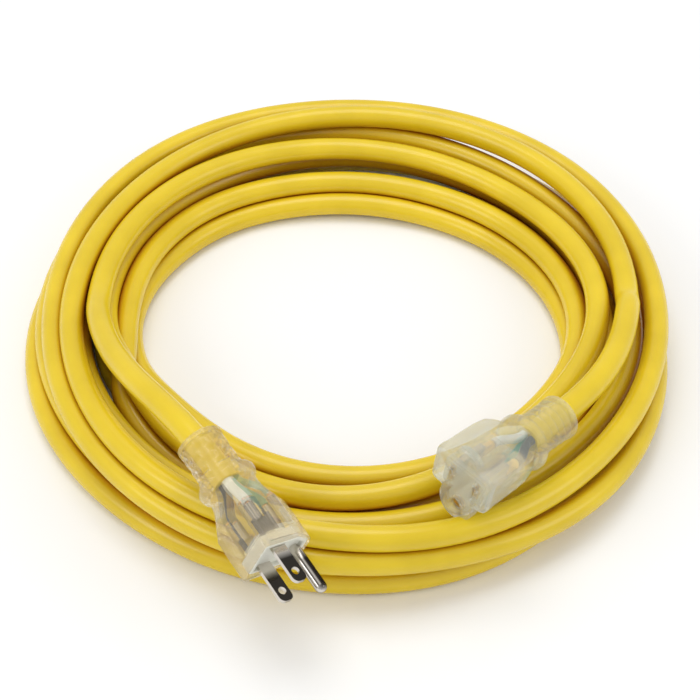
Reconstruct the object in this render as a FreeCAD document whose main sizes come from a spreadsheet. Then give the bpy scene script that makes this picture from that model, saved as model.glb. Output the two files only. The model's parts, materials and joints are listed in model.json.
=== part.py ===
"""Extension cord: coiled cord, moulded three-prong plug and single-outlet connector.

Millimetres, +Z up, floor at z = 0.  Both moulded ends are drawn in a frame of their
own (x out of the mating face, y across the two blades, z towards the earth pin) and
are then put in place on the coil.
"""
import FreeCAD, Part
import Sketcher
import math
import os
from FreeCAD import Placement, Rotation, Vector

os.makedirs("parts", exist_ok=True)
doc = FreeCAD.newDocument("extension_cord")

# ---------------------------------------------------------------- driving dimensions

DIMENSIONS = {
    # cord and its three insulated conductors
    "cord_radius": 5.4,
    "wire_radius": 1.9,
    "core_radius": 1.1,
    "wire_circle": 2.3,
    # flat blades and round earth pin, common to plug and outlet
    "blade_half_gap": 6.35,
    "blade_width": 6.35,
    "blade_thickness": 1.5,
    "blade_reach": 16.5,
    "blade_hole_radius": 1.7,
    "blade_hole_x": 11.9,
    "pin_radius": 2.4,
    "pin_reach": 20.6,
    "pin_rise": 11.9,
    "pin_shank_radius": 1.8,
    "pin_seam": 0.4,
    "pin_seam_depth": 0.7,
    "terminal_back": 14.0,
    "barrel_length": 8.0,
    "barrel_radius": 2.05,
    # outline of the plug body at its face, and its length
    "body_half_width": 13.9,
    "body_base_z": -7.1,
    "body_shoulder_width": 13.2,
    "body_shoulder_z": 7.8,
    "body_tip_width": 3.9,
    "body_tip_z": 18.8,
    "axis_z": 3.0,
    "body_back": 34.0,
    "plug_jacket_end": 36.5,
    "plug_length": 58.0,
    # strain relief, the same on both ends
    "relief_radius": 9.4,
    "groove_depth": 1.3,
    "groove_width": 1.5,
    "groove_pitch": 3.4,
    "bead_radius": 12.4,
    # white bridge in the plug's face
    "bridge_half_width": 8.7,
    "bridge_base_z": -6.8,
    "bridge_shoulder_z": 10.0,
    "bridge_tip_width": 4.6,
    "bridge_tip_z": 16.6,
    "bridge_step": 1.4,
    "bridge_rim": 4.0,
    "bridge_depth": 13.0,
    # connector body
    "socket_half_width": 14.2,
    "socket_top_z": -12.0,
    "socket_side_z": 6.0,
    "lobe_radius": 8.6,
    "lobe_z": 10.2,
    "arch_radius": 7.0,
    "arch_z": -11.0,
    "flange_depth": 4.0,
    "slot_length": 7.4,
    "slot_width": 1.9,
    "slot_depth": 19.0,
    "earth_hole_radius": 3.1,
    "earth_hole_depth": 22.0,
    "socket_axis_z": 1.5,
    "socket_depth": 29.0,
    "socket_shoulder": 36.0,
    "connector_length": 63.0,
    "connector_jacket_end": 42.0,
    "earth_flat": 2.9,
    "carrier_half_width": 10.4,
    "carrier_front": 3.0,
    "carrier_back": 26.0,
    "boss_radius": 5.6,
    "contact_front": 3.0,
    "socket_barrel": 7.0,
    "socket_covered": 27.5,
    "strand_bulge": 0.24,
    "contact_sheet": 0.5,
    "contact_back_wall": 1.0,
    # where each end lies
    "plug_x": -29.7,
    "plug_y": -147.9,
    "plug_z": 47.2,
    "plug_yaw": -55.7,
    "plug_pitch": 12.3,
    "plug_roll": -111.3,
    "connector_x": 42.5,
    "connector_y": -115.1,
    "connector_z": 50.7,
    "connector_yaw": -134.6,
    "connector_pitch": -7.0,
    "connector_roll": 176.0,
    "coil_y": 10.0,
}

sheet = doc.addObject("Spreadsheet::Sheet", "sheet")
for row, (alias, number) in enumerate(DIMENSIONS.items(), start=1):
    sheet.set("A%d" % row, alias)
    sheet.set("B%d" % row, str(number))
    sheet.setAlias("B%d" % row, alias)
doc.recompute()


def size(alias):
    """Value of one driving dimension."""
    return float(sheet.get(alias))


def placed(end):
    """Placement of one moulded end ("plug" or "connector") on the coil."""
    where = Vector(size(end + "_x"), size(end + "_y"), size(end + "_z"))
    turn = Rotation(size(end + "_yaw"), size(end + "_pitch"), size(end + "_roll"))
    return Placement(where, turn)


# ------------------------------------------------------------------- sketch helpers


def new_body(label, end=None):
    """Empty body, standing where its moulded end stands."""
    body = doc.addObject("PartDesign::Body", label)
    body.Label = label
    if end:
        body.Placement = placed(end)
    return body


def sketch_on(body, name, role, offset=0.0):
    """Sketch on one of the body's origin planes, moved along that plane's normal."""
    sketch = body.newObject("Sketcher::SketchObject", name)
    planes = [item for item in body.Origin.OriginFeatures if item.Role == role]
    sketch.AttachmentSupport = [(planes[0], "")]
    sketch.MapMode = "FlatFace"
    sketch.AttachmentOffset = Placement(Vector(0, 0, offset), Rotation())
    return sketch


def draw_outline(sketch, points):
    """Closed outline of straight lines with its corners joined."""
    first = sketch.GeometryCount
    count = len(points)
    for index in range(count):
        start = Vector(points[index][0], points[index][1], 0)
        end = Vector(points[(index + 1) % count][0], points[(index + 1) % count][1], 0)
        sketch.addGeometry(Part.LineSegment(start, end), False)
    for index in range(count):
        joined = (first + index, 2, first + (index + 1) % count, 1)
        sketch.addConstraint(Sketcher.Constraint("Coincident", *joined))


def draw_circle(sketch, centre, radius_alias):
    """Circle whose radius follows the sheet."""
    middle = Vector(centre[0], centre[1], 0)
    index = sketch.addGeometry(Part.Circle(middle, Vector(0, 0, 1), size(radius_alias)), False)
    number = sketch.addConstraint(Sketcher.Constraint("Radius", index, size(radius_alias)))
    name = "radius_%d" % index
    sketch.renameConstraint(number, name)
    sketch.setExpression("Constraints." + name, "sheet." + radius_alias)


def pad(body, sketch, length, symmetric=False, reverse=False):
    """Pad of a fixed length, or one that follows an expression."""
    feature = body.newObject("PartDesign::Pad", "pad")
    feature.Profile = sketch
    if isinstance(length, str):
        feature.setExpression("Length", length)
    else:
        feature.Length = length
    feature.Midplane = symmetric
    feature.Reversed = reverse
    doc.recompute()
    return feature


def pocket(body, sketch, length, symmetric=False, reverse=False):
    """Pocket of a fixed length, or one that follows an expression."""
    feature = body.newObject("PartDesign::Pocket", "pocket")
    feature.Profile = sketch
    if isinstance(length, str):
        feature.setExpression("Length", length)
    else:
        feature.Length = length
    feature.Midplane = symmetric
    feature.Reversed = reverse
    doc.recompute()
    return feature


def revolve_about_x(body, name, points, axis_z):
    """Solid of revolution about a line along x at height axis_z in the body."""
    sketch = sketch_on(body, name, "XZ_Plane")
    draw_outline(sketch, points)
    ends = (Vector(points[0][0], axis_z, 0), Vector(points[0][0] + 1.0, axis_z, 0))
    sketch.addGeometry(Part.LineSegment(*ends), True)
    feature = body.newObject("PartDesign::Revolution", "turned")
    feature.Profile = sketch
    feature.ReferenceAxis = (sketch, ["Axis0"])
    feature.Angle = 360.0
    doc.recompute()
    return feature


def rectangle(centre_x, centre_y, width, height):
    """Corners of a rectangle."""
    left, right = centre_x - width / 2, centre_x + width / 2
    low, high = centre_y - height / 2, centre_y + height / 2
    return [(left, low), (right, low), (right, high), (left, high)]


def rounded_outline(points, radius, steps=6):
    """Closed outline with every corner replaced by a short chain of chords."""
    rounded = []
    count = len(points)
    for index in range(count):
        corner = Vector(points[index][0], points[index][1], 0)
        before = Vector(points[index - 1][0], points[index - 1][1], 0) - corner
        after = Vector(points[(index + 1) % count][0], points[(index + 1) % count][1], 0) - corner
        before.normalize()
        after.normalize()
        half_angle = before.getAngle(after) / 2
        setback = radius / math.tan(half_angle)
        middle = corner + (before + after).normalize() * (radius / math.sin(half_angle))
        start = corner + before * setback - middle
        sweep = math.pi - 2 * half_angle
        turn_sign = 1.0 if before.cross(after).z < 0 else -1.0
        for step in range(steps + 1):
            angle = turn_sign * sweep * step / steps
            x = start.x * math.cos(angle) - start.y * math.sin(angle)
            y = start.x * math.sin(angle) + start.y * math.cos(angle)
            rounded.append((middle.x + x, middle.y + y))
    return rounded


# --------------------------------------------------------- strain relief and its bead


def relief_profile(front, length, axis_z):
    """Half outline of the ribbed strain relief with the bead in front of it."""
    outer = size("relief_radius")
    inner = outer - size("groove_depth")
    points = [(-length, 0.0), (-length, outer)]
    groove_start = -length + 2.2
    for _ in range(3):
        groove_end = groove_start + size("groove_width")
        points += [(groove_start, outer), (groove_start + 0.3, inner)]
        points += [(groove_end - 0.3, inner), (groove_end, outer)]
        groove_start += size("groove_pitch")
    bead = size("bead_radius")
    points += [(front - 8.0, outer + 0.4), (front - 5.6, bead), (front - 2.6, bead)]
    points += [(front - 0.6, outer + 1.4), (front + 2.0, outer + 1.2), (front + 2.0, 0.0)]
    return [(x, axis_z + radius) for x, radius in points]


# ------------------------------------------------------------ blades, pin and barrels


def add_barrel(body, y, z, start, length, core_end):
    """Crimp barrel behind a terminal, open for the bare core."""
    ring = sketch_on(body, "barrel", "YZ_Plane", start)
    draw_circle(ring, (y, z), "barrel_radius")
    pad(body, ring, length, reverse=True)
    hole = sketch_on(body, "barrel_hole", "YZ_Plane", start - length)
    draw_circle(hole, (y, z), "core_radius")
    pocket(body, hole, length - core_end, reverse=True)


def blade(label, side):
    """Flat blade with a round-cornered tip, a hole and a crimp barrel."""
    body = new_body(label, "plug")
    half = size("blade_width") / 2
    back = -size("terminal_back")
    reach = size("blade_reach")
    tip = 2.3
    outline = [(back, -half), (reach - tip, -half)]
    for step in range(1, 7):
        angle = math.radians(-90 + 15 * step)
        outline.append((reach - tip + tip * math.cos(angle), -half + tip + tip * math.sin(angle)))
    for step in range(0, 7):
        angle = math.radians(15 * step)
        outline.append((reach - tip + tip * math.cos(angle), half - tip + tip * math.sin(angle)))
    outline.append((back, half))
    flat = sketch_on(body, "outline", "XZ_Plane", -side * size("blade_half_gap"))
    draw_outline(flat, outline)
    pad(body, flat, "sheet.blade_thickness", symmetric=True)
    hole = sketch_on(body, "hole", "XZ_Plane", -side * size("blade_half_gap"))
    draw_circle(hole, (size("blade_hole_x"), 0.0), "blade_hole_radius")
    pocket(body, hole, 4.0, symmetric=True)
    add_barrel(body, side * size("blade_half_gap"), 0.0, back + 1.0, size("barrel_length"), 1.0)
    return body


def earth_pin(label):
    """Round pin rolled from sheet: domed tip, open seam, crimp barrel."""
    body = new_body(label, "plug")
    radius = size("pin_radius")
    rise = size("pin_rise")
    reach = size("pin_reach")
    back = -size("terminal_back")
    shank = rise + size("pin_shank_radius")
    points = [(back, rise), (back, shank), (0.0, shank), (0.0, rise + radius)]
    points.append((reach - radius, rise + radius))
    for step in range(1, 9):
        angle = math.radians(90 - 11.25 * step)
        points.append((reach - radius + radius * math.cos(angle), rise + radius * math.sin(angle)))
    revolve_about_x(body, "outline", points, rise)
    seam = sketch_on(body, "seam", "XZ_Plane", radius)
    draw_outline(seam, rectangle(reach / 2 - 0.5, rise, reach - 4.0, size("pin_seam")))
    pocket(body, seam, "sheet.pin_seam_depth")
    add_barrel(body, 0.0, rise, back + 1.0, size("barrel_length"), 1.0)
    return body


# ------------------------------------------------------------------ plug's white bridge


def body_hexagon(grow=1.0):
    """Outline of the plug body, scaled about the cord's axis."""
    half = [("body_half_width", "body_base_z"), ("body_shoulder_width", "body_shoulder_z"),
            ("body_tip_width", "body_tip_z")]
    axis = size("axis_z")
    right = [(size(y) * grow, axis + (size(z) - axis) * grow) for y, z in half]
    left = [(-y, z) for y, z in reversed(right)]
    return right + left


def bridge_outline(inset):
    """Outline of the bridge, drawn in from its rim by a step."""
    wide = size("bridge_half_width") - inset
    base = size("bridge_base_z") + inset
    shoulder = size("bridge_shoulder_z") - inset / 2
    tip_wide = size("bridge_tip_width") - inset / 2
    tip = size("bridge_tip_z") - inset
    right = [(wide, base), (wide, shoulder), (tip_wide, tip)]
    return right + [(-y, z) for y, z in reversed(right)]


def plug_bridge():
    """White plate in the face that carries the blades and the pin."""
    body = new_body("plug_bridge", "plug")
    rim = size("bridge_rim")
    front = sketch_on(body, "front_plate", "YZ_Plane")
    draw_outline(front, bridge_outline(size("bridge_step")))
    pad(body, front, rim, reverse=True)
    back = sketch_on(body, "rim_plate", "YZ_Plane", -rim)
    draw_outline(back, bridge_outline(0.0))
    pad(body, back, 1.6, reverse=True)
    block = sketch_on(body, "block", "YZ_Plane", -rim)
    low, high = -4.6, size("pin_rise") + 3.4
    draw_outline(block, rectangle(0.0, (low + high) / 2, 16.4, high - low))
    pad(body, block, size("bridge_depth") - rim, reverse=True)
    openings = sketch_on(body, "openings", "YZ_Plane")
    for side in (1, -1):
        width, length = size("blade_thickness"), size("blade_width")
        draw_outline(openings, rectangle(side * size("blade_half_gap"), 0.0, width, length))
    draw_circle(openings, (0.0, size("pin_rise")), "pin_shank_radius")
    pocket(body, openings, 20.0)
    return body


def plug_shell():
    """Clear moulding of the plug before its contents are taken out of it."""
    body = new_body("plug_shell", "plug")
    stations = [(0.0, 1.0), (-13.0, 1.0), (-21.0, 0.93), (-28.0, 0.78), (-size("body_back"), 0.62)]
    sections = []
    for index, (x, grow) in enumerate(stations):
        section = sketch_on(body, "section_%d" % index, "YZ_Plane", x)
        draw_outline(section, rounded_outline(body_hexagon(grow), 2.0 * grow, 3))
        sections.append(section)
    loft = body.newObject("PartDesign::AdditiveLoft", "tapered_body")
    loft.Profile = sections[0]
    loft.Sections = sections[1:]
    loft.Ruled = True
    doc.recompute()
    profile = relief_profile(-size("body_back"), size("plug_length"), size("axis_z"))
    revolve_about_x(body, "relief", profile, size("axis_z"))
    return body


# ------------------------------------------------------------------ insulated conductors


def along_curve(points):
    """Smooth wire through points, leaving both ends along x."""
    curve = Part.BSplineCurve()
    tangent = Vector(1, 0, 0)
    curve.interpolate(points, InitialTangent=tangent, FinalTangent=tangent)
    return Part.Wire([curve.toShape()])


def conductor(end, name, start, finish, core_end):
    """Insulation and bare core of one conductor, from the jacket to its barrel."""
    lead_in = Vector(start.x + 2.0, start.y, start.z)
    lead_out = Vector(finish.x - 2.0, finish.y, finish.z)
    covered = along_curve([start, lead_in, lead_out, finish])
    bare_end = Vector(core_end, finish.y, finish.z)
    bare = Part.Wire(covered.Edges + [Part.LineSegment(finish, bare_end).toShape()])
    outer = Part.Face(Part.Wire([Part.makeCircle(size("wire_radius"), start, Vector(1, 0, 0))]))
    inner = Part.Face(Part.Wire([Part.makeCircle(size("core_radius"), start, Vector(1, 0, 0))]))
    core_shape = bare.makePipe(inner)
    cover_shape = covered.makePipe(outer).cut(core_shape)
    for kind, shape in (("wire", cover_shape), ("core", core_shape)):
        node = doc.addObject("Part::Feature", "%s_%s_%s" % (end, name, kind))
        node.Label = "%s_%s_%s" % (end, name, kind)
        node.Shape = shape
        node.Placement = placed(end)
        contents[end].append(node)


def conductors(end, axis_z, covered_to, core_ends):
    """The three conductors of one end, fanning out of the jacket to their terminals."""
    gap = size("blade_half_gap")
    terminals = {"hot": (gap, 0.0), "neutral": (-gap, 0.0), "earth": (0.0, size("pin_rise"))}
    angles = {"hot": -30.0, "neutral": 210.0, "earth": 90.0}
    if end == "connector":
        terminals["hot"], terminals["neutral"] = terminals["neutral"], terminals["hot"]
        angles["hot"], angles["neutral"] = angles["neutral"], angles["hot"]
    for name, (y, z) in terminals.items():
        angle = math.radians(angles[name])
        start_y = size("wire_circle") * math.cos(angle)
        start_z = axis_z + size("wire_circle") * math.sin(angle)
        start = Vector(-size(end + "_jacket_end"), start_y, start_z)
        conductor(end, name, start, Vector(covered_to, y, z), core_ends[name])


# ------------------------------------------------------------------------ connector


def slot_rectangles(sketch, extra=0.0):
    """The two blade slots, or an outline larger than them all round."""
    width = size("slot_width") + 2 * extra
    length = size("slot_length") + 2 * extra
    for side in (1, -1):
        draw_outline(sketch, rectangle(side * size("blade_half_gap"), 0.0, width, length))


def draw_earth_opening(sketch, grow=0.0):
    """D-shaped outline of the earth hole: an arc, with a flat on its outer side."""
    radius = size("earth_hole_radius") + grow
    half_gap = math.acos((size("earth_flat") + grow) / radius)
    middle = Vector(0, size("pin_rise"), 0)
    circle = Part.Circle(middle, Vector(0, 0, 1), radius)
    start = math.pi / 2 + half_gap
    end = 2.5 * math.pi - half_gap
    ends = [middle + Vector(math.cos(a), math.sin(a), 0) * radius for a in (end, start)]
    arc = sketch.addGeometry(Part.ArcOfCircle(circle, start, end), False)
    flat = sketch.addGeometry(Part.LineSegment(*ends), False)
    sketch.addConstraint(Sketcher.Constraint("Coincident", arc, 2, flat, 1))
    sketch.addConstraint(Sketcher.Constraint("Coincident", flat, 2, arc, 1))


def connector_shell():
    """Clear moulding of the connector before its contents are taken out of it."""
    body = new_body("connector_shell", "connector")
    depth = size("socket_depth")
    wide = 2 * size("socket_half_width")
    top, side = size("socket_top_z"), size("socket_side_z")
    block = sketch_on(body, "block", "YZ_Plane")
    draw_outline(block, rounded_outline(rectangle(0.0, (top + side) / 2, wide, side - top), 5.0))
    pad(body, block, "sheet.socket_depth", reverse=True)
    lobe = sketch_on(body, "earth_lobe", "YZ_Plane")
    draw_circle(lobe, (0.0, size("lobe_z")), "lobe_radius")
    pad(body, lobe, "sheet.socket_depth", reverse=True)
    arch = sketch_on(body, "arch", "YZ_Plane")
    draw_circle(arch, (0.0, size("arch_z")), "arch_radius")
    pad(body, arch, "sheet.flange_depth", reverse=True)
    axis = size("socket_axis_z")
    profile = relief_profile(-size("socket_shoulder"), size("connector_length"), axis)
    profile = profile[:-2] + [(-depth + 1.0, axis + 14.0), (-depth + 1.0, axis)]
    revolve_about_x(body, "relief", profile, axis)
    slots = sketch_on(body, "slots", "YZ_Plane")
    slot_rectangles(slots)
    pocket(body, slots, "sheet.slot_depth")
    earth = sketch_on(body, "earth_hole", "YZ_Plane")
    draw_earth_opening(earth)
    pocket(body, earth, "sheet.earth_hole_depth")
    return body


def connector_carrier():
    """Frosted block that holds the three contacts."""
    body = new_body("connector_carrier", "connector")
    front = -size("carrier_front")
    depth = size("carrier_back") - size("carrier_front")
    block = sketch_on(body, "block", "YZ_Plane", front)
    low = -6.0
    high = 6.5
    width = 2 * size("carrier_half_width")
    draw_outline(block, rounded_outline(rectangle(0.0, (low + high) / 2, width, high - low), 1.5))
    pad(body, block, depth, reverse=True)
    boss = sketch_on(body, "boss", "YZ_Plane", front)
    draw_circle(boss, (0.0, size("pin_rise") - 1.5), "boss_radius")
    pad(body, boss, depth, reverse=True)
    slots = sketch_on(body, "slots", "YZ_Plane", front)
    slot_rectangles(slots, size("contact_sheet"))
    pocket(body, slots, size("slot_depth") - size("contact_front") + size("contact_back_wall"))
    earth = sketch_on(body, "earth_hole", "YZ_Plane", front)
    draw_earth_opening(earth, size("contact_sheet"))
    pocket(body, earth, size("earth_hole_depth") - size("contact_front") + size("contact_back_wall"))
    barrels = sketch_on(body, "barrel_holes", "YZ_Plane", front)
    for side in (1, -1):
        draw_circle(barrels, (side * size("blade_half_gap"), 0.0), "barrel_radius")
    draw_circle(barrels, (0.0, size("pin_rise")), "barrel_radius")
    pocket(body, barrels, 2 * depth)
    return body


def slot_contact(label, side):
    """Sheet-metal box that grips a blade, with its crimp barrel."""
    body = new_body(label, "connector")
    front = -size("contact_front")
    back = -size("slot_depth")
    sheet_metal = size("contact_sheet")
    centre = side * size("blade_half_gap")
    box = sketch_on(body, "box", "YZ_Plane", front)
    width = size("slot_width") + 2 * sheet_metal
    length = size("slot_length") + 2 * sheet_metal
    draw_outline(box, rectangle(centre, 0.0, width, length))
    pad(body, box, front - back + size("contact_back_wall"), reverse=True)
    inside = sketch_on(body, "inside", "YZ_Plane", front)
    draw_outline(inside, rectangle(centre, 0.0, size("slot_width"), size("slot_length")))
    pocket(body, inside, front - back)
    add_barrel(body, centre, 0.0, back - 0.5, size("socket_barrel"), 1.0)
    return body


def earth_contact(label):
    """Sheet-metal sleeve that grips the earth pin, with its crimp barrel."""
    body = new_body(label, "connector")
    front = -size("contact_front")
    back = -size("earth_hole_depth")
    sleeve = sketch_on(body, "sleeve", "YZ_Plane", front)
    draw_earth_opening(sleeve, size("contact_sheet"))
    pad(body, sleeve, front - back + size("contact_back_wall"), reverse=True)
    inside = sketch_on(body, "inside", "YZ_Plane", front)
    draw_earth_opening(inside)
    pocket(body, inside, front - back)
    add_barrel(body, 0.0, size("pin_rise"), back - 0.5, size("socket_barrel") - 3.0, 1.0)
    return body


# ------------------------------------------------------------------------- the cord


def rounded_route(points):
    """Straight runs joined by tangent arcs, as one wire."""
    edges = []
    position = points[0]
    for index in range(1, len(points) - 1):
        corner = points[index]
        before = points[index - 1] - corner
        after = points[index + 1] - corner
        shorter = min(before.Length, after.Length)
        before.normalize()
        after.normalize()
        turn = math.pi - before.getAngle(after)
        setback = 0.45 * shorter
        radius = setback / math.tan(turn / 2)
        print("bend %.0f degrees, radius %.0f mm" % (math.degrees(turn), radius))
        start = corner + before * setback
        end = corner + after * setback
        inward = (before + after).normalize()
        middle = corner + inward * (radius / math.cos(turn / 2) - radius)
        edges.append(Part.LineSegment(position, start).toShape())
        edges.append(Part.Arc(start, middle, end).toShape())
        position = end
    edges.append(Part.LineSegment(position, points[-1]).toShape())
    return Part.Wire(edges)


def lead(label, end, axis_z, relief_end, route):
    """Cord from inside a strain relief to the coil, along a hand-laid route."""
    place = placed(end)
    points = [place.multVec(Vector(-size(end + "_jacket_end"), 0, axis_z))]
    points.append(place.multVec(Vector(-relief_end, 0, axis_z)))
    points += [Vector(*point) for point in route]
    path = rounded_route(points)
    circle = Part.makeCircle(size("cord_radius"), points[0], points[1] - points[0])
    tube = path.makePipeShell([Part.Wire([circle])], True, False)
    section = math.pi * size("cord_radius") ** 2
    print("%s: %.1f mm long, volume ratio %.4f" % (label, path.Length, tube.Volume / section / path.Length))
    node = doc.addObject("Part::Feature", label)
    node.Label = label
    node.Shape = tube
    return node


PLUG_ROUTE = [(-75.5, -77.0, 55.5), (-90.0, -56.0, 49.5), (-102.5, -32.5, 42.5), (-110.5, -7.5, 37.0)]
CONNECTOR_ROUTE = [(105.5, -48.0, 40.0), (117.5, -22.5, 37.0), (123.5, 3.0, 34.5)]

# Coil: heading in degrees, inner edge, outer edge and height in millimetres.
COIL_STATIONS = [
    (0, 94.0, 147.0, 38.0),
    (45, 93.0, 149.0, 38.0),
    (90, 90.0, 152.0, 38.0),
    (135, 92.0, 149.0, 38.0),
    (180, 94.0, 146.5, 38.0),
    (225, 93.0, 146.0, 31.0),
    (270, 91.0, 146.0, 26.0),
    (315, 92.0, 147.0, 29.0),
]


def coil_section(heading, inner, outer, height):
    """Outline of the bundle at one heading: flat below, bulging strands around."""
    wide = outer - inner
    corners = [(inner + 5.0, -2.0), (outer - 5.0, -2.0), (outer - 2.4, 0.34 * height)]
    corners += [(outer - 0.15 * wide, 0.66 * height), (outer - 0.33 * wide, 0.88 * height)]
    corners += [(outer - 0.53 * wide, 0.91 * height), (outer - 0.72 * wide, 0.86 * height)]
    corners += [(inner + 0.11 * wide, 0.62 * height), (inner + 2.4, 0.32 * height)]
    angle = math.radians(heading)
    outward = Vector(math.cos(angle), math.sin(angle), 0)
    centre = Vector(0, size("coil_y"), 0)
    points = [centre + outward * radius + Vector(0, 0, z) for radius, z in corners]
    normal = Vector(-math.sin(angle), math.cos(angle), 0)
    edges = [Part.LineSegment(points[0], points[1]).toShape()]
    for index in range(1, len(points)):
        start, end = points[index], points[(index + 1) % len(points)]
        bulge = (end - start).cross(normal) * -size("strand_bulge")
        edges.append(Part.Arc(start, (start + end) / 2 + bulge, end).toShape())
    return Part.Wire(edges)


def coil_ring():
    """Outer shape of the whole coil as one solid."""
    wires = [coil_section(*station) for station in COIL_STATIONS]
    ring = Part.makeLoft(wires + [wires[0]], True, False, False)
    above_floor = Part.makeBox(400, 400, 100, Vector(-200, -200, 0))
    return ring.common(above_floor)


# --------------------------------------------------------------------------- build

contents = {"plug": [], "connector": []}

bridge = plug_bridge()
contents["plug"] += [blade("plug_hot_blade", 1), blade("plug_neutral_blade", -1)]
contents["plug"] += [earth_pin("plug_earth_pin"), bridge]
plug_covered = -(size("terminal_back") - 1.0 + size("barrel_length")) - 1.0
plug_cores = dict.fromkeys(("hot", "neutral", "earth"), -size("terminal_back"))
conductors("plug", size("axis_z"), plug_covered, plug_cores)

contents["connector"] += [connector_carrier(), earth_contact("connector_earth_contact")]
contents["connector"] += [slot_contact("connector_hot_contact", -1)]
contents["connector"] += [slot_contact("connector_neutral_contact", 1)]
socket_cores = dict.fromkeys(("hot", "neutral"), -size("slot_depth") - 1.5)
socket_cores["earth"] = -size("earth_hole_depth") - 1.5
conductors("connector", size("socket_axis_z"), -size("socket_covered"), socket_cores)

plug_lead = lead("plug_lead", "plug", size("axis_z"), size("plug_length") + 2.0, PLUG_ROUTE)
connector_lead = lead("connector_lead", "connector", size("socket_axis_z"),
                      size("connector_length") + 2.0, CONNECTOR_ROUTE)


def hollowed(label, shell, tools):
    """Moulding with everything it encloses taken out of it, one piece at a time."""
    moulding = shell
    for tool in tools:
        cut = doc.addObject("Part::Cut", label + "_step")
        cut.Base = moulding
        cut.Tool = tool
        moulding = cut
    moulding.Label = label
    doc.recompute()
    return moulding


plug_housing = hollowed("plug_housing", plug_shell(), contents["plug"] + [plug_lead])
connector_housing = hollowed("connector_housing", connector_shell(), contents["connector"] + [connector_lead])

coil = doc.addObject("Part::Feature", "cord_coil")
coil.Label = "cord_coil"
coil.Shape = coil_ring().cut([plug_lead.Shape, connector_lead.Shape])
doc.recompute()

nodes = contents["plug"] + contents["connector"]
nodes += [plug_housing, connector_housing, plug_lead, connector_lead, coil]
for item in doc.Objects:
    if "Invalid" in item.State or "Error" in item.State:
        raise SystemExit("%s did not rebuild: %s" % (item.Label, item.State))
for node in nodes:
    shape = node.Shape
    if shape.isNull() or not shape.isValid():
        raise SystemExit("%s has no valid shape" % node.Label)
    print("%-28s solids %d volume %.0f box z %.1f to %.1f" % (
        node.Label, len(shape.Solids), shape.Volume, shape.BoundBox.ZMin, shape.BoundBox.ZMax))
    shape.exportStep("parts/%s.step" % node.Label)
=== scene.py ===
"""Extension cord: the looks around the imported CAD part, in metres and in its frame."""
import json
import math

import bmesh
import bpy
import numpy as np
from mathutils import Euler, Matrix, Vector


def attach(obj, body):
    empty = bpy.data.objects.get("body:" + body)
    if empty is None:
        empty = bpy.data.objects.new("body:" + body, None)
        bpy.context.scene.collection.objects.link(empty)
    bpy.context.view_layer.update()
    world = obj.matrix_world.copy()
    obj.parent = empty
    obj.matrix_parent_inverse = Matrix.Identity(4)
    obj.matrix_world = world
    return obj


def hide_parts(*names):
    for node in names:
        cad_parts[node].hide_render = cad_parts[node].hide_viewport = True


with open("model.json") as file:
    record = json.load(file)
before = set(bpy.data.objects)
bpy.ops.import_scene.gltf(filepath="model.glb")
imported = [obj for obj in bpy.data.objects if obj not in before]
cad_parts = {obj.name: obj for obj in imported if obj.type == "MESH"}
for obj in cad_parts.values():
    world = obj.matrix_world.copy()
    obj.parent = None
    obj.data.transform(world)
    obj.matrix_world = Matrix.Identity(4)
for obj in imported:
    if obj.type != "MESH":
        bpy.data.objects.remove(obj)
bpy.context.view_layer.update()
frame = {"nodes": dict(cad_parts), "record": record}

NODES = frame["nodes"]
MM = 0.001

# ------------------------------------------------------------------ driving sizes

CORD_DIAMETER = 10.8 * MM
CORD_RADIUS = CORD_DIAMETER / 2
COIL_CENTRE = Vector((0.0, 0.010, 0.0))

# Each moulded end has its own frame: x out of the mating face, y across the blades,
# z towards the earth pin.
PLUG_PLACE = Matrix.Translation((-0.0297, -0.1479, 0.0472)) @ Euler(
    (math.radians(-111.3), math.radians(12.3), math.radians(-55.7))).to_matrix().to_4x4()
CONNECTOR_PLACE = Matrix.Translation((0.0425, -0.1151, 0.0507)) @ Euler(
    (math.radians(176.0), math.radians(-7.0), math.radians(-134.6))).to_matrix().to_4x4()
PLUG_AXIS_Z = 3.0 * MM
PLUG_JACKET_END = 36.5 * MM
PLUG_LENGTH = 58.0 * MM
CONNECTOR_AXIS_Z = 1.5 * MM
CONNECTOR_JACKET_END = 42.0 * MM
CONNECTOR_LENGTH = 63.0 * MM

# The cord between the moulded ends and the coil.
PLUG_ROUTE = [(-0.0755, -0.0770, 0.0555), (-0.0900, -0.0560, 0.0495), (-0.1025, -0.0325, 0.0425),
              (-0.1105, -0.0075, 0.0370)]
CONNECTOR_ROUTE = [(0.1055, -0.0480, 0.0400), (0.1175, -0.0225, 0.0370), (0.1235, 0.0030, 0.0345)]

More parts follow.
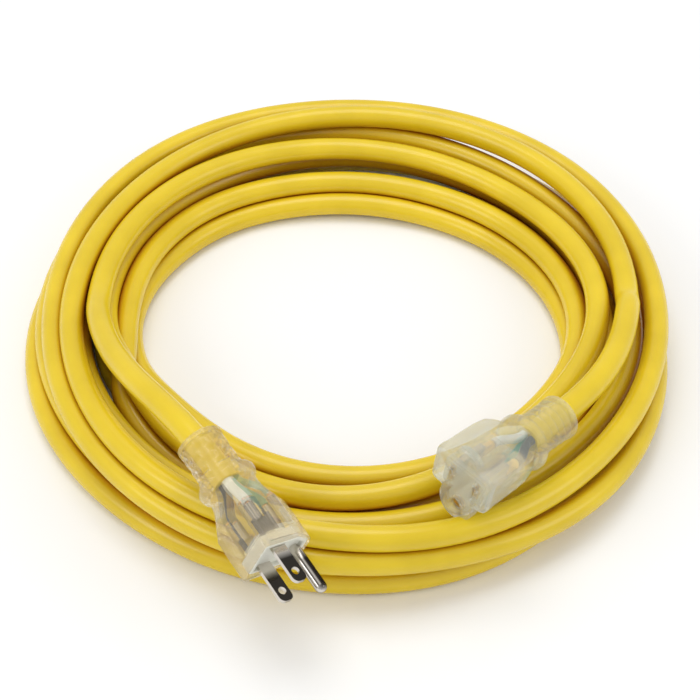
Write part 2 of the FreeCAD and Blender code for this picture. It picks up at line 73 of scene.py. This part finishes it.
# The coil's turns from the plug to the connector: radius and height of the cord's
# middle in millimetres, every TABLE_STEP degrees clockwise from the left side.
# The last turn stops at the right side. The values were read on a flattened picture
# of the coil, converted for their heights by a program, rounded, and some changed.
TURNS = [
    [(112, 32), (116, 30), (117, 25), (112, 25), (112, 29), (101, 24), (109, 24), (99, 13)],
    [(110, 21), (116, 19), (125, 14), (117, 14), (114, 18), (110, 14), (107, 13), (103, 5)],
    [(102, 16), (108, 13), (102, 16), (101, 14), (104, 15), (95, 14), (92, 16), (92, 15)],
    [(101, 5), (104, 5), (94, 9), (98, 6), (102, 5), (99, 5), (96, 5), (97, 5)],
    [(112, 6), (112, 5), (110, 5), (113, 5), (114, 6), (122, 6), (139, 16), (132, 15)],
    [(138, 16), (143, 18), (137, 20), (127, 20), (128, 18), (119, 18), (118, 18), (118, 17)],
    [(123, 20), (128, 9), (130, 5), (128, 5), (127, 6), (132, 5), (137, 5), (135, 5)],
    [(143, 5), (142, 7), (143, 7), (141, 6), (138, 11), (142, 15), (140, 26), (133, 24)],
    [(133, 26), (143, 26), (146, 27), (146, 26), (138, 25), (135, 27), (140, 34), (130, 32)],
    [(124, 32), (128, 32), (136, 31), (134, 31), (124, 32)],
]
FIRST_HEADING = 180.0
TABLE_STEP = 45.0
HEADING_STEP = 7.5
HEADINGS_PER_TURN = int(360 / HEADING_STEP)


# ------------------------------------------------------------------- mesh helpers

SHARP_EDGE = math.radians(26.0)


def add_object(name, data):
    """Object for a mesh or a curve, in the scene."""
    item = bpy.data.objects.new(name, data)
    bpy.context.scene.collection.objects.link(item)
    return item


def loft(name, rings, place):
    """Closed mesh through rings of equally many points, capped at both ends."""
    mesh = bpy.data.meshes.new(name)
    shape = bmesh.new()
    rows = [[shape.verts.new(place @ Vector(point)) for point in ring] for ring in rings]
    count = len(rows[0])
    for row, following in zip(rows, rows[1:]):
        for index in range(count):
            after = (index + 1) % count
            shape.faces.new((row[index], row[after], following[after], following[index]))
    shape.faces.new(list(reversed(rows[0])))
    shape.faces.new(rows[-1])
    bmesh.ops.recalc_face_normals(shape, faces=shape.faces)
    shape.to_mesh(mesh)
    shape.free()
    mesh.shade_smooth()
    item = add_object(name, mesh)
    item.data.set_sharp_from_angle(angle=SHARP_EDGE)
    return item


# ------------------------------------------------------------------- the cord's line

SETTLE_ROUNDS = 150
PUSHES_PER_ROUND = 2
PULL_TO_TABLE = 0.03
SINKING = 0.05 * MM
STIFFNESS = 0.06
TOUCHING = 0.985 * CORD_DIAMETER
STRAND_PUSH = 0.35
END_PUSH = 0.5
TINY = 1e-9


def smooth_between(headings, known_headings, known):
    """Smooth curve through known values, read at more headings."""
    slope = np.gradient(known, known_headings)
    index = np.clip(np.searchsorted(known_headings, headings, side="right") - 1, 0, len(known) - 2)
    width = known_headings[index + 1] - known_headings[index]
    t = (headings - known_headings[index]) / width
    start, end = known[index], known[index + 1]
    rise, leave = slope[index] * width, slope[index + 1] * width
    blend = t * t * (3 - 2 * t)
    return start + (end - start) * blend + (t - 1) ** 2 * t * rise + t * t * (t - 1) * leave


def obstacles():
    """Balls that stand for the two moulded ends where they lie on the coil."""
    # Each row: an end, a height in its own frame, and a ball's radius.
    bodies = [(PLUG_PLACE, 5.0 * MM, 13.5 * MM), (CONNECTOR_PLACE, -1.0 * MM, 13.0 * MM),
              (CONNECTOR_PLACE, 10.0 * MM, 9.0 * MM)]
    reliefs = [(PLUG_PLACE, PLUG_AXIS_Z, 10.5 * MM), (CONNECTOR_PLACE, CONNECTOR_AXIS_Z, 10.5 * MM)]
    balls = []
    for stations, rows in ((range(-2, -34, -6), bodies), (range(-36, -68, -5), reliefs)):
        for x in stations:
            for place, z, radius in rows:
                balls.append((place @ Vector((x * MM, 0, z)) - COIL_CENTRE, radius))
    return balls


def stiffened(values):
    """Take out sharp changes along the cord, as its stiffness does."""
    second = np.zeros_like(values)
    second[1:-1] = values[:-2] - 2 * values[1:-1] + values[2:]
    fourth = second[:-2] - 2 * second[1:-1] + second[2:]
    values[2:-2] -= STIFFNESS * fourth[1:-1]


def settle(angles, radius, height):
    """Let the turns lie on each other and on the floor, near where the table puts them.

    It leaves strands a little inside each other, and some stretches with nothing under them.
    """
    table_radius = radius.copy()
    table_height = height.copy()
    balls = obstacles()
    for _ in range(SETTLE_ROUNDS):
        radius += PULL_TO_TABLE * (table_radius - radius)
        height += PULL_TO_TABLE * (table_height - height) - SINKING
        stiffened(radius)
        stiffened(height)
        for _ in range(PUSHES_PER_ROUND):
            for first in range(HEADINGS_PER_TURN):
                stack = slice(first, None, HEADINGS_PER_TURN)
                apart = radius[stack][:, None] - radius[stack][None, :]
                above = height[stack][:, None] - height[stack][None, :]
                gap = np.hypot(apart, above) + TINY
                push = STRAND_PUSH * np.clip(TOUCHING - gap, 0, None) / gap
                radius[stack] += (push * apart).sum(axis=1)
                height[stack] += (push * above).sum(axis=1)
            for middle, ball_radius in balls:
                dx = radius * np.cos(angles) - middle.x
                dy = radius * np.sin(angles) - middle.y
                dz = height - middle.z
                gap = np.sqrt(dx * dx + dy * dy + dz * dz) + TINY
                push = END_PUSH * np.clip(ball_radius + CORD_RADIUS - gap, 0, None) / gap
                radius += push * (dx * np.cos(angles) + dy * np.sin(angles))
                height += push * dz
            np.maximum(height, CORD_RADIUS, out=height)


def coil_points():
    """Control points of the coil's turns, one every HEADING_STEP degrees."""
    table = np.array([place for turn in TURNS for place in turn], dtype=float) * MM
    known = TABLE_STEP * np.arange(len(table))
    headings = np.arange(0.0, known[-1] + HEADING_STEP / 2, HEADING_STEP)
    radius = smooth_between(headings, known, table[:, 0])
    height = smooth_between(headings, known, table[:, 1])
    angles = np.radians(FIRST_HEADING - headings)
    settle(angles, radius, height)
    places = zip(radius * np.cos(angles), radius * np.sin(angles), height)
    return [COIL_CENTRE + Vector(place) for place in places]


def cord_points():
    """The whole cord, from inside the plug's relief to inside the connector's."""
    plug = [PLUG_PLACE @ Vector((-x, 0, PLUG_AXIS_Z)) for x in (PLUG_JACKET_END, PLUG_LENGTH)]
    connector = [CONNECTOR_PLACE @ Vector((-x, 0, CONNECTOR_AXIS_Z))
                 for x in (CONNECTOR_LENGTH, CONNECTOR_JACKET_END)]
    plug_lead = [Vector(point) for point in PLUG_ROUTE]
    connector_lead = [Vector(point) for point in reversed(CONNECTOR_ROUTE)]
    return plug + plug_lead + coil_points() + connector_lead + connector


def build_cord():
    """The cord's jacket as one smooth line of the cord's real thickness."""
    points = cord_points()
    curve = bpy.data.curves.new("cord_jacket", "CURVE")
    curve.dimensions = "3D"
    spline = curve.splines.new("NURBS")
    spline.points.add(len(points) - 1)
    for control, place in zip(spline.points, points):
        control.co = (*place, 1.0)
    spline.order_u = 3
    spline.use_endpoint_u = True
    curve.resolution_u = 4
    curve.bevel_depth = CORD_RADIUS
    curve.bevel_resolution = 7
    curve.use_fill_caps = True
    return add_object("cord_jacket", curve)


# ------------------------------------------------------------------ moulded housings

AROUND = 96  # points in a ring
FINE = 8  # finer directions between two points of a ring, where corners are taken off
PARALLEL = 1e-12

# Strain relief, in millimetres. The bead's profile is (distance behind its front, radius).
BEAD_PROFILE = [(0.0, 10.8), (0.8, 11.9), (2.0, 12.4), (3.6, 12.4), (4.8, 11.8), (5.6, 10.6), (6.6, 9.8)]
BEAD_LENGTH = 7.2
RELIEF_RADIUS = 9.4
RELIEF_STEP = 0.35
RELIEF_END_BEVEL = 0.6
RELIEF_END_RADIUS = 8.9
RELIEF_MOUTH_RADIUS = 5.6

# The relief's surface patterns: rows along it, and how deep they are pressed in.
PATTERN_ROWS = 5
PLAIN_BAND = 0.3 * MM
OPENINGS_AROUND = 6
OPENING_DEPTH = 1.7 * MM
GROOVE_DEPTH = 2.0 * MM


def polygon_radius(corners, angle, middle_z):
    """Distance from the cord's axis to a convex outline in one direction."""
    direction = Vector((math.cos(angle), math.sin(angle)))
    nearest = math.inf
    for (y, z), (next_y, next_z) in zip(corners, corners[1:] + corners[:1]):
        start = Vector((y, z - middle_z))
        end = Vector((next_y, next_z - middle_z))
        edge = end - start
        crossing = direction.cross(edge)
        if abs(crossing) < PARALLEL:
            continue
        distance = start.cross(edge) / crossing
        if distance > 0:
            nearest = min(nearest, distance)
    return nearest


def soft_radii(corners, middle_z, rounding):
    """Outline as distances from the axis, with its corners taken off."""
    step = 2 * math.pi / AROUND
    sharp = [polygon_radius(corners, index * step / FINE, middle_z) for index in range(AROUND * FINE)]
    reach = int(rounding * FINE)
    soft = []
    for index in range(0, AROUND * FINE, FINE):
        window = [sharp[(index + shift) % len(sharp)] for shift in range(-reach, reach + 1)]
        soft.append(min(sharp[index], sum(window) / len(window)))
    return soft


def ring(x, radii, middle_z):
    """One ring of points from its distances to the axis."""
    points = []
    for index, radius in enumerate(radii):
        angle = 2 * math.pi * index / AROUND
        points.append((x, radius * math.cos(angle), middle_z + radius * math.sin(angle)))
    return points


def scaled(radii, factor):
    """Outline made larger or smaller about the axis."""
    return [radius * factor for radius in radii]


def mixed(radii, radius, share):
    """Blend from an outline to a circle."""
    return [(1 - share) * value + share * radius for value in radii]


# Outlines across the plug, as (y, z) in millimetres.
PLUG_BODY = [(13.9, -7.1), (13.2, 7.8), (3.9, 18.8), (-3.9, 18.8), (-13.2, 7.8), (-13.9, -7.1)]
BRIDGE = [(8.7, -6.8), (8.7, 10.0), (4.6, 16.6), (-4.6, 16.6), (-8.7, 10.0), (-8.7, -6.8)]
PLUG_NECK_RADIUS = 10.4 * MM

# Outline across the connector, and its lobes as (height of the middle, radius), in millimetres.
CONNECTOR_BLOCK = [(14.2, -12.0), (14.2, 6.0), (-14.2, 6.0), (-14.2, -12.0)]
EARTH_LOBE = (10.2, 8.6)
FLANGE_ARCH = (-11.0, 7.0)
CONNECTOR_NECK_RADIUS = 10.8 * MM

# The connector's openings, in millimetres.
BLADE_SIDE = 6.35
SLOT_HALF_WIDTH = 0.95
SLOT_HALF_HEIGHT = 3.7
CONTACT_GROW = 0.54
EARTH_HEIGHT = 11.9
EARTH_HOLE = {"radius": 3.05, "flat": 2.5}
SLEEVE_SEAT = {"radius": 3.64, "flat": 3.44}
ROUND_STEPS = 32
CUTTER_FRONT = 1.0
OPENING_BACK = -3.02
SEAT_FRONT = -2.98
CONTACT_SEAT_BACK = -20.04
SLEEVE_SEAT_BACK = -23.04


def in_metres(outline):
    """Outline given in millimetres, in metres."""
    return [(y * MM, z * MM) for y, z in outline]


def relief_rings(front, back, middle_z, pattern):
    """Rings of a strain relief from its bead to its end, with the given surface pattern."""
    rings = []
    for offset, radius in BEAD_PROFILE:
        rings.append(ring((front - offset) * MM, [radius * MM] * AROUND, middle_z))
    start = front - BEAD_LENGTH
    steps = int((start - back) / RELIEF_STEP)
    for step in range(steps + 1):
        along = step / steps
        x = start * (1 - along) + back * along
        angles = [2 * math.pi * index / AROUND for index in range(AROUND)]
        radii = [RELIEF_RADIUS * MM + pattern(along, angle) for angle in angles]
        rings.append(ring(x * MM, radii, middle_z))
    for radius in (RELIEF_END_RADIUS, RELIEF_MOUTH_RADIUS):
        rings.append(ring((back - RELIEF_END_BEVEL) * MM, [radius * MM] * AROUND, middle_z))
    return rings


def plug_pattern(along, angle):
    """Rows of small openings sunk into the plug's relief, in turn with each other."""
    first_row_starts = 0.35
    last_row_ends = 0.88
    row = along * PATTERN_ROWS
    if row < first_row_starts or along > last_row_ends:
        return PLAIN_BAND
    across = math.sin(math.pi * (row % 1.0)) ** 2
    turned = math.sin(OPENINGS_AROUND * angle + math.pi * (int(row) % 2))
    return -OPENING_DEPTH * across * min(1.0, max(0.0, 1.6 * turned + 0.5))


def connector_pattern(along, angle):
    """Rings round the connector's relief, each broken on two sides."""
    last_row_ends = 0.9
    row = along * PATTERN_ROWS
    if along > last_row_ends:
        return PLAIN_BAND
    across = math.sin(math.pi * (row % 1.0)) ** 2
    broken = 1.0 - 0.8 * max(0.0, math.cos(2 * angle)) ** 6
    return -GROOVE_DEPTH * across * broken


def plug_housing():
    """Clear six-sided moulding with a bevelled face, taper, bead and relief."""
    middle = PLUG_AXIS_Z
    body = soft_radii(in_metres(PLUG_BODY), middle, rounding=0.9)
    seat = soft_radii(in_metres(BRIDGE), middle, rounding=0.6)
    rings = [ring(-5.6 * MM, seat, middle), ring(-0.2 * MM, seat, middle)]
    # Millimetres behind the face, size of the body's outline, and share of the round end.
    stations = [(-0.2, 0.965, 0.0), (-0.7, 0.99, 0.0), (-1.6, 1.0, 0.0), (-6.0, 1.0, 0.0),
                (-13.0, 1.0, 0.0), (-19.0, 0.99, 0.0), (-20.5, 0.95, 0.02), (-25.0, 0.86, 0.22),
                (-29.0, 0.79, 0.6), (-32.0, 0.77, 0.9)]
    for x, factor, share in stations:
        rings.append(ring(x * MM, mixed(scaled(body, factor), PLUG_NECK_RADIUS, share), middle))
    rings += relief_rings(-33.2, -57.4, middle, plug_pattern)
    return loft("plug_clear_housing", rings, PLUG_PLACE)


def white_bridge():
    """White plate in the plug's face: a rim round a sunk front, with a foot behind it."""
    middle = PLUG_AXIS_Z
    rim = soft_radii(in_metres(BRIDGE), middle, rounding=0.4)
    # Millimetres out of the face, and size of the rim's outline.
    profile = [(-1.5, 0.30), (-1.5, 0.80), (-0.3, 0.83), (0.0, 0.86), (0.0, 0.95), (-0.3, 0.985),
               (-5.2, 0.985), (-5.5, 0.96), (-5.5, 0.70), (-8.0, 0.66), (-8.0, 0.30)]
    rings = [ring(x * MM, scaled(rim, factor), middle) for x, factor in profile]
    return loft("plug_white_bridge", rings, PLUG_PLACE)


def lobed_radii(with_arch):
    """Connector outline: a rounded block with the earth lobe, and on the flange an arch."""
    middle = CONNECTOR_AXIS_Z
    lobes = [EARTH_LOBE]
    if with_arch:
        lobes.append(FLANGE_ARCH)
    outline = []
    for index, radius in enumerate(soft_radii(in_metres(CONNECTOR_BLOCK), middle, rounding=1.6)):
        angle = 2 * math.pi * index / AROUND
        direction = Vector((math.cos(angle), math.sin(angle)))
        for height, lobe_radius in lobes:
            centre_z = height * MM - middle
            circle = lobe_radius * MM
            beside = direction.x * centre_z
            if abs(beside) < circle:
                radius = max(radius, direction.y * centre_z + math.sqrt(circle ** 2 - beside ** 2))
        outline.append(radius)
    return [(outline[index - 1] + outline[index] + outline[(index + 1) % AROUND]) / 3
            for index in range(AROUND)]


def connector_housing():
    """Frosted clear moulding with a flange, straight body, bead and relief."""
    middle = CONNECTOR_AXIS_Z
    flange = lobed_radii(True)
    body = lobed_radii(False)
    rings = []
    # Millimetres behind the face, and size of the flange's outline.
    for x, factor in ((0.0, 0.3), (0.0, 0.955), (-0.5, 0.99), (-1.2, 1.0), (-3.4, 1.0)):
        rings.append(ring(x * MM, scaled(flange, factor), middle))
    # Millimetres behind the face, size of the body's outline, and share of the round end.
    stations = [(-4.4, 0.99, 0.0), (-5.0, 0.985, 0.0), (-12.0, 0.98, 0.0), (-20.0, 0.97, 0.0),
                (-26.0, 0.95, 0.06), (-30.0, 0.91, 0.3), (-33.0, 0.85, 0.62), (-35.0, 0.80, 0.9)]
    for x, factor, share in stations:
        rings.append(ring(x * MM, mixed(scaled(body, factor), CONNECTOR_NECK_RADIUS, share), middle))
    rings += relief_rings(-36.0, -62.4, middle, connector_pattern)
    housing = loft("connector_clear_housing", rings, CONNECTOR_PLACE)
    cut_openings(housing)
    return housing


def opening(name, outline, front, back):
    """Straight-sided cutter into the connector's face."""
    rings = [[(x * MM, y * MM, z * MM) for y, z in outline] for x in (front, back)]
    return loft(name, rings, CONNECTOR_PLACE)


def slot_outline(side, grow):
    """Blade slot, or the seat of the contact round it."""
    wide = SLOT_HALF_WIDTH + grow
    tall = SLOT_HALF_HEIGHT + grow
    y = side * BLADE_SIDE
    return [(y - wide, -tall), (y + wide, -tall), (y + wide, tall), (y - wide, tall)]


def earth_outline(radius, flat):
    """Round hole with a flat on its outer side."""
    angles = [2 * math.pi * step / ROUND_STEPS for step in range(ROUND_STEPS)]
    return [(radius * math.cos(angle), EARTH_HEIGHT + min(radius * math.sin(angle), flat))
            for angle in angles]


def cut_openings(housing):
    """The blade slots and the earth hole, and behind the face the seats of their contacts."""
    cutters = [opening("earth_cutter", earth_outline(**EARTH_HOLE), CUTTER_FRONT, OPENING_BACK),
               opening("sleeve_cutter", earth_outline(**SLEEVE_SEAT), SEAT_FRONT, SLEEVE_SEAT_BACK)]
    for side in (-1, 1):
        cutters.append(opening("slot_cutter", slot_outline(side, 0.0), CUTTER_FRONT, OPENING_BACK))
        cutters.append(opening("contact_cutter", slot_outline(side, CONTACT_GROW),
                               SEAT_FRONT, CONTACT_SEAT_BACK))
    for cutter in cutters:
        cut = housing.modifiers.new("opening", "BOOLEAN")
        cut.operation = "DIFFERENCE"
        cut.solver = "EXACT"
        cut.object = cutter
    bpy.context.view_layer.update()
    cut_mesh = bpy.data.meshes.new_from_object(
        housing.evaluated_get(bpy.context.evaluated_depsgraph_get()))
    housing.modifiers.clear()
    housing.data = cut_mesh
    for cutter in cutters:
        bpy.data.objects.remove(cutter)


# ------------------------------------------------------------------------ materials

# The jacket's painted shade in the gaps between turns: how far a neighbouring turn
# counts, and the openness where the painted shade is full and where it has gone.
GAP_SHADE_REACH = 1.2 * CORD_DIAMETER
GAP_SHADE_FULL = 0.15
GAP_SHADE_NONE = 0.55
COAT_ROUGHNESS = 0.15
GRAIN_HEIGHT = 0.2 * MM
FINE_GRAIN_HEIGHT = 0.1 * MM


def new_material(name):
    """Material with a Principled shader, its node tree and the shader node."""
    material = bpy.data.materials.new(name)
    material.use_nodes = True
    tree = material.node_tree
    return material, tree, tree.nodes["Principled BSDF"]


def noise(tree, scale, detail=3.0, stretch=(1.0, 1.0, 1.0)):
    """Noise in the object's own coordinates."""
    place = tree.nodes.new("ShaderNodeTexCoord")
    mapping = tree.nodes.new("ShaderNodeMapping")
    mapping.inputs["Scale"].default_value = stretch
    texture = tree.nodes.new("ShaderNodeTexNoise")
    texture.inputs["Scale"].default_value = scale
    texture.inputs["Detail"].default_value = detail
    tree.links.new(place.outputs["Object"], mapping.inputs["Vector"])
    tree.links.new(mapping.outputs["Vector"], texture.inputs["Vector"])
    return texture.outputs["Fac"]


def ramp(tree, value, dark, light, low=0.35, high=0.65):
    """Colour between two shades, driven by a value."""
    node = tree.nodes.new("ShaderNodeValToRGB")
    node.color_ramp.elements[0].position = low
    node.color_ramp.elements[0].color = (*dark, 1.0)
    node.color_ramp.elements[1].position = high
    node.color_ramp.elements[1].color = (*light, 1.0)
    tree.links.new(value, node.inputs["Fac"])
    return node.outputs["Color"]


def bump(tree, shader, value, strength, distance):
    """Fine surface relief."""
    node = tree.nodes.new("ShaderNodeBump")
    node.inputs["Strength"].default_value = strength
    node.inputs["Distance"].default_value = distance
    tree.links.new(value, node.inputs["Height"])
    tree.links.new(node.outputs["Normal"], shader.inputs["Normal"])


def plain_surface(name, dark, light, roughness, scale=60.0, metallic=0.0, coat=0.0, relief=0.0):
    """Surface of one stuff with a slight change of shade over it."""
    material, tree, shader = new_material(name)
    value = noise(tree, scale)
    tree.links.new(ramp(tree, value, dark, light), shader.inputs["Base Color"])
    shader.inputs["Roughness"].default_value = roughness
    shader.inputs["Metallic"].default_value = metallic
    shader.inputs["Coat Weight"].default_value = coat
    shader.inputs["Coat Roughness"].default_value = COAT_ROUGHNESS
    if relief:
        bump(tree, shader, noise(tree, scale * 6), relief, GRAIN_HEIGHT)
    return material


def jacket_material():
    """Yellow satin vinyl. The reddish brown in the gaps where turns press together is painted shade, driven
    by occlusion.
    """
    dark_yellow = (0.70, 0.500, 0.010)
    light_yellow = (0.78, 0.565, 0.015)
    # Painted shade: where occlusion finds a neighbouring turn close by, the yellow is mixed towards a
    # reddish brown, standing in for the shade in the gaps.
    gap_shade_orange = (0.46, 0.150, 0.004, 1.0)
    material, tree, shader = new_material("yellow_jacket")
    open_shade = ramp(tree, noise(tree, 35.0), dark_yellow, light_yellow)
    gap_shade_occlusion = tree.nodes.new("ShaderNodeAmbientOcclusion")
    gap_shade_occlusion.samples = 6
    gap_shade_occlusion.only_local = True
    gap_shade_occlusion.inputs["Distance"].default_value = GAP_SHADE_REACH
    gap_shade_share = tree.nodes.new("ShaderNodeMapRange")
    gap_shade_share.inputs["From Min"].default_value = GAP_SHADE_FULL
    gap_shade_share.inputs["From Max"].default_value = GAP_SHADE_NONE
    tree.links.new(gap_shade_occlusion.outputs["AO"], gap_shade_share.inputs["Value"])
    mix = tree.nodes.new("ShaderNodeMix")
    mix.data_type = "RGBA"
    mix.inputs["A"].default_value = gap_shade_orange
    tree.links.new(gap_shade_share.outputs["Result"], mix.inputs["Factor"])
    tree.links.new(open_shade, mix.inputs["B"])
    tree.links.new(mix.outputs["Result"], shader.inputs["Base Color"])
    shader.inputs["Roughness"].default_value = 0.27
    bump(tree, shader, noise(tree, 210.0), 0.03, GRAIN_HEIGHT)
    shader.inputs["Subsurface Weight"].default_value = 0.06
    shader.inputs["Subsurface Radius"].default_value = (1.0, 0.6, 0.1)
    shader.inputs["Subsurface Scale"].default_value = 2.0 * MM
    return material


def reach_out(tree, place, inner, outer):
    """0 to 1 as a surface goes from one distance to another out of an end's mating face."""
    along = place.to_3x3() @ Vector((1, 0, 0))
    face = along.dot(place.translation)
    position = tree.nodes.new("ShaderNodeTexCoord")
    reach = tree.nodes.new("ShaderNodeVectorMath")
    reach.operation = "DOT_PRODUCT"
    reach.inputs[1].default_value = along
    tree.links.new(position.outputs["Object"], reach.inputs[0])
    share = tree.nodes.new("ShaderNodeMapRange")
    share.inputs["From Min"].default_value = face + inner
    share.inputs["From Max"].default_value = face + outer
    tree.links.new(reach.outputs["Value"], share.inputs["Value"])
    return share


def clear_material(name, place, dark, light, roughness, opacity, front_opacity, transmission):
    """Clear vinyl with a haze in it, thicker at the mating face."""
    material, tree, shader = new_material(name)
    haze = reach_out(tree, place, -6.5 * MM, -3.5 * MM)
    haze.inputs["To Min"].default_value = opacity
    haze.inputs["To Max"].default_value = front_opacity
    tree.links.new(haze.outputs["Result"], shader.inputs["Alpha"])
    value = noise(tree, 90.0)
    tree.links.new(ramp(tree, value, dark, light), shader.inputs["Base Color"])
    shader.inputs["Roughness"].default_value = roughness
    shader.inputs["Transmission Weight"].default_value = transmission
    shader.inputs["IOR"].default_value = 1.38
    bump(tree, shader, noise(tree, 260.0), 0.05, GRAIN_HEIGHT)
    return material


def nickel_material():
    """Polished nickel. The dark blade faces are a painted reflection and the darker crimps are painted
    shade; neither comes from mirroring.
    """
    bright = (0.66, 0.62, 0.56)
    blade_painted_reflection = (0.045, 0.040, 0.034)
    crimp_painted_shade = (0.22, 0.20, 0.17, 1.0)
    material, tree, shader = new_material("nickel")
    across = PLUG_PLACE.to_3x3() @ Vector((0, 1, 0))
    from_face = reach_out(tree, PLUG_PLACE, 1 * MM, 6 * MM)
    place = tree.nodes.new("ShaderNodeTexCoord")
    facing = tree.nodes.new("ShaderNodeVectorMath")
    facing.operation = "DOT_PRODUCT"
    facing.inputs[1].default_value = across
    tree.links.new(place.outputs["Normal"], facing.inputs[0])
    flatness = tree.nodes.new("ShaderNodeMath")
    flatness.operation = "ABSOLUTE"
    tree.links.new(facing.outputs["Value"], flatness.inputs[0])
    # Painted reflection: blade faces turned across the plug, out past the mating face, are painted near
    # black.
    painted_reflection_share = tree.nodes.new("ShaderNodeMath")
    painted_reflection_share.operation = "MULTIPLY"
    tree.links.new(flatness.outputs["Value"], painted_reflection_share.inputs[0])
    tree.links.new(from_face.outputs["Result"], painted_reflection_share.inputs[1])
    blade_reflection_colour = ramp(tree, painted_reflection_share.outputs["Value"], bright, blade_painted_reflection, low=0.25, high=0.95)
    # Painted shade: the crimps behind the mating face are painted darker.
    crimp_shade_mix = tree.nodes.new("ShaderNodeMix")
    crimp_shade_mix.data_type = "RGBA"
    crimp_shade_mix.inputs["A"].default_value = crimp_painted_shade
    crimp_shade_share = reach_out(tree, PLUG_PLACE, -8 * MM, -5 * MM)
    tree.links.new(crimp_shade_share.outputs["Result"], crimp_shade_mix.inputs["Factor"])
    tree.links.new(blade_reflection_colour, crimp_shade_mix.inputs["B"])
    tree.links.new(crimp_shade_mix.outputs["Result"], shader.inputs["Base Color"])
    shader.inputs["Metallic"].default_value = 1.0
    shader.inputs["Specular Tint"].default_value = (0.35, 0.33, 0.30, 1.0)
    shader.inputs["Roughness"].default_value = 0.14
    bump(tree, shader, noise(tree, 300.0), 0.04, FINE_GRAIN_HEIGHT)
    return material


def build_materials():
    """One material for each of the record's slots, and one each for the two housings."""
    return {
        "jacket": jacket_material(),
        "clear_plug": clear_material(
            "clear_vinyl_plug", PLUG_PLACE, dark=(0.92, 0.81, 0.58), light=(0.96, 0.88, 0.68),
            roughness=0.07, opacity=0.54, front_opacity=0.62, transmission=0.78),
        "clear_connector": clear_material(
            "clear_vinyl_connector", CONNECTOR_PLACE, dark=(0.78, 0.81, 0.71), light=(0.86, 0.89, 0.79),
            roughness=0.08, opacity=0.46, front_opacity=0.58, transmission=0.62),
        "white_insert": plain_surface(
            "white_insert", dark=(0.72, 0.72, 0.62), light=(0.80, 0.80, 0.71), roughness=0.42, relief=0.05),
        "frosted_insert": clear_material(
            "frosted_insert", CONNECTOR_PLACE, dark=(0.82, 0.83, 0.77), light=(0.90, 0.91, 0.85),
            roughness=0.30, opacity=0.20, front_opacity=0.40, transmission=0.10),
        "nickel": nickel_material(),
        "brass_contact": plain_surface(
            "brass_contact", dark=(0.88, 0.54, 0.09), light=(0.96, 0.66, 0.16), roughness=0.35,
            scale=90.0, metallic=0.2),
        "copper": plain_surface(
            "copper", dark=(0.62, 0.30, 0.15), light=(0.80, 0.44, 0.24), roughness=0.32,
            scale=240.0, metallic=1.0),
        "black_insulation": plain_surface(
            "black_insulation", dark=(0.018, 0.020, 0.022), light=(0.03, 0.034, 0.038), roughness=0.30),
        "white_insulation": plain_surface(
            "white_insulation", dark=(0.74, 0.75, 0.66), light=(0.82, 0.83, 0.75), roughness=0.35),
        "green_insulation": plain_surface(
            "green_insulation", dark=(0.002, 0.24, 0.14), light=(0.004, 0.31, 0.19), roughness=0.33),
    }


def dress_nodes(materials):
    """Give every CAD node the material of its own slot."""
    slots = {part["node"]: part["material_slot"] for part in frame["record"]["subparts"]}
    for name, node in NODES.items():
        slot = slots[name]
        if slot == "clear_vinyl":
            slot = "clear_plug" if name.startswith("plug") else "clear_connector"
        node.data.materials.clear()
        node.data.materials.append(materials[slot])


# ------------------------------------------------------------ floor, light, camera

FLOOR_SIZE = 6.0
WORLD_STRENGTH = 0.74
LENS_LENGTH = 89.5
NEAR_CLIP = 0.01
CAMERA_PLACE = (0.0, -0.5547, 0.5677)
CAMERA_AIM = (0.0, 0.009, 0.0)


def build_floor():
    """Plain white floor under the coil."""
    bpy.ops.mesh.primitive_grid_add(x_subdivisions=2, y_subdivisions=2, size=FLOOR_SIZE,
                                    location=(0, 0, 0))
    floor = bpy.context.active_object
    floor.name = "studio_floor"
    white = plain_surface("floor_white", dark=(0.90, 0.90, 0.90), light=(0.92, 0.92, 0.92),
                          roughness=0.9, scale=3.0)
    floor.data.materials.append(white)


def add_softbox(name, place, size, power):
    """Large soft light aimed at the coil."""
    lamp = bpy.data.lights.new(name, "AREA")
    lamp.shape = "SQUARE"
    lamp.size = size
    lamp.energy = power
    item = add_object(name, lamp)
    item.location = place
    item.rotation_euler = (-Vector(place)).to_track_quat("-Z", "Y").to_euler()


def build_light():
    """White surroundings with a large light overhead and a smaller one on each side."""
    world = bpy.data.worlds.new("studio")
    world.use_nodes = True
    background = world.node_tree.nodes["Background"]
    background.inputs["Color"].default_value = (1.0, 1.0, 1.0, 1.0)
    background.inputs["Strength"].default_value = WORLD_STRENGTH
    bpy.context.scene.world = world
    add_softbox("overhead_light", place=(-0.10, 0.25, 1.30), size=0.8, power=5.8)
    add_softbox("left_light", place=(-1.00, -0.45, 0.80), size=0.5, power=2.7)
    add_softbox("right_light", place=(1.00, -0.30, 0.70), size=0.5, power=1.8)
    bpy.context.scene.view_settings.view_transform = "Standard"


def build_camera():
    """Camera looking down at the coil at the usual three-quarter height."""
    lens = bpy.data.cameras.new("camera")
    lens.lens = LENS_LENGTH
    lens.clip_start = NEAR_CLIP
    camera = add_object("camera", lens)
    camera.location = CAMERA_PLACE
    aim = Vector(CAMERA_AIM) - camera.location
    camera.rotation_euler = aim.to_track_quat("-Z", "Y").to_euler()
    bpy.context.scene.camera = camera


# ---------------------------------------------------------------------- build it all

materials = build_materials()
dress_nodes(materials)
build_floor()
build_light()
build_camera()

cord = build_cord()
cord.data.materials.append(materials["jacket"])
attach(cord, "root")
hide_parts("cord_coil", "plug_lead", "connector_lead")

plug = plug_housing()
plug.data.materials.append(materials["clear_plug"])
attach(plug, "root")
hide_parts("plug_housing")

bridge = white_bridge()
bridge.data.materials.append(materials["white_insert"])
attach(bridge, "root")
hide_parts("plug_bridge")

connector = connector_housing()
connector.data.materials.clear()
connector.data.materials.append(materials["clear_connector"])
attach(connector, "root")
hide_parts("connector_housing")
